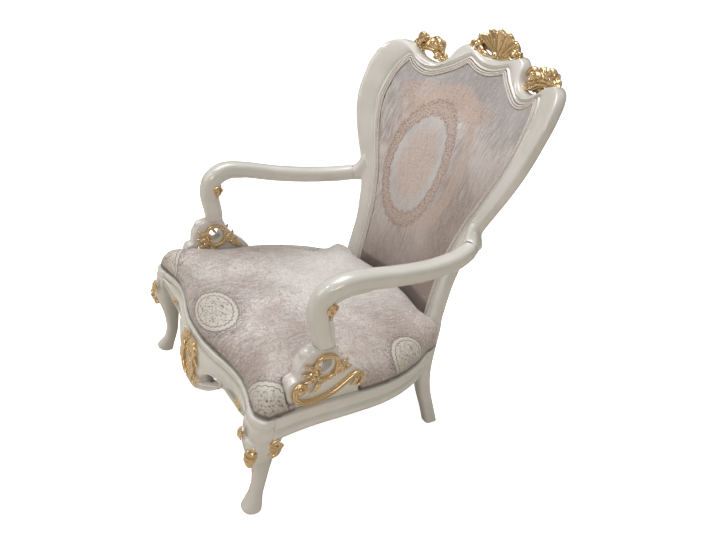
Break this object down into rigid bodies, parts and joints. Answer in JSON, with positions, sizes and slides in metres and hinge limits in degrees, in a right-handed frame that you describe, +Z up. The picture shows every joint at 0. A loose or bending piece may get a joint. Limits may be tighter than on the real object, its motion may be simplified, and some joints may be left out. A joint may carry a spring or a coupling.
{
  "type": "carved open-arm throne chair",
  "caption": "Rococo throne armchair in ivory lacquered wood with gilded carving, cabriole front legs, open arms and damask upholstery.",
  "frame": {"origin": "on the floor under the middle of the chair's bounding box", "axes": "+X to the viewer's right of the chair seen from the front, -Y toward the front where the sitter faces, +Z up"},
  "size_m": [0.8056, 0.8987, 1.211],
  "materials": {
    "lacquer": "ivory lacquer, glossy, over carved wood",
    "gilding": "antique gold leaf with brown in the recesses",
    "damask": "silvery lilac satin damask with peach and cream pattern",
    "outside_cloth": "plain silvery lilac satin"
  },
  "bodies": {
    "root": {"apron_cartouche": "gilding", "apron_leaf_left": "gilding", "apron_leaf_right": "gilding", "arm_bracket_left": "lacquer", "arm_bracket_right": "lacquer", "arm_bud_left": "gilding", "arm_bud_right": "gilding", "arm_left": "lacquer", "arm_right": "lacquer", "back_post_left": "lacquer", "back_post_right": "lacquer", "back_upholstery": "damask", "bracket_scroll_inner_left": "gilding", "bracket_scroll_inner_right": "gilding", "bracket_scroll_outer_left": "gilding", "bracket_scroll_outer_right": "gilding", "crest_leaf_left": "gilding", "crest_leaf_right": "gilding", "crest_rail": "lacquer", "crest_shell": "gilding", "front_leg_left": "lacquer", "front_leg_right": "lacquer", "front_rail": "lacquer", "knee_leaf_front_left": "gilding", "knee_leaf_front_right": "gilding", "knee_leaf_side_left": "gilding", "knee_leaf_side_right": "gilding", "knee_scroll_left": "gilding", "knee_scroll_right": "gilding", "outside_back_panel": "outside_cloth", "rear_rail": "lacquer", "seat_upholstery": "damask", "side_rail_left": "lacquer", "side_rail_right": "lacquer"}
  },
  "joints": []
}
